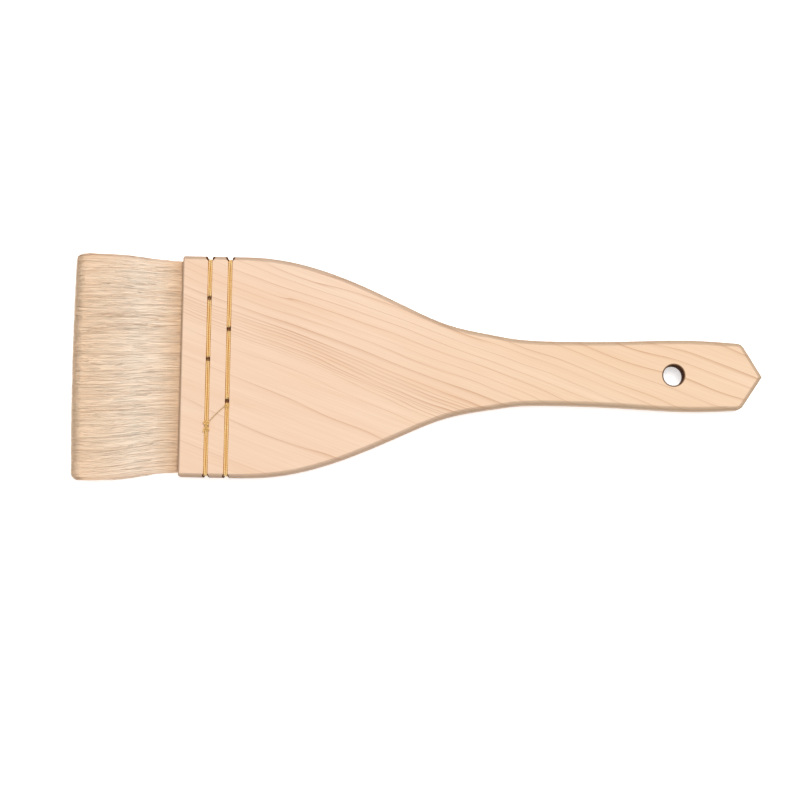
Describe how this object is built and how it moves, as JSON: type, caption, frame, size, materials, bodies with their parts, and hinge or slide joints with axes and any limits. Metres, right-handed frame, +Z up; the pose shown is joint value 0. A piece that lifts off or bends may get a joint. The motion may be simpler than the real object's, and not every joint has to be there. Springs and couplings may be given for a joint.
{
  "type": "paint brush",
  "caption": "Flat wash brush: a mat of pale hair sewn into the split head of a shaped wooden handle with a hanging hole.",
  "frame": {"origin": "on the surface that the brush lies on, under the middle of its box", "axes": "+X from the hair towards the pointed end of the handle, +Y across the head, +Z up from the face that it lies on"},
  "size_m": [0.2336, 0.0782, 0.0102],
  "materials": {
    "bare_wood": "bare planed cypress, sanded smooth",
    "goat_hair": "soft cream hair, satin",
    "yellow_thread": "twisted yellow silk",
    "lacquer_seal": "hard dark lacquer"
  },
  "bodies": {
    "root": {"handle": "bare_wood", "hair_mat": "goat_hair", "root_seal": "lacquer_seal", "front_row_stitch_1": "yellow_thread", "front_row_stitch_2": "yellow_thread", "front_row_stitch_3": "yellow_thread", "front_row_stitch_4": "yellow_thread", "rear_row_stitch_1": "yellow_thread", "rear_row_stitch_2": "yellow_thread", "rear_row_stitch_3": "yellow_thread", "tie_off_knot": "yellow_thread", "tie_strand": "yellow_thread"}
  },
  "joints": []
}
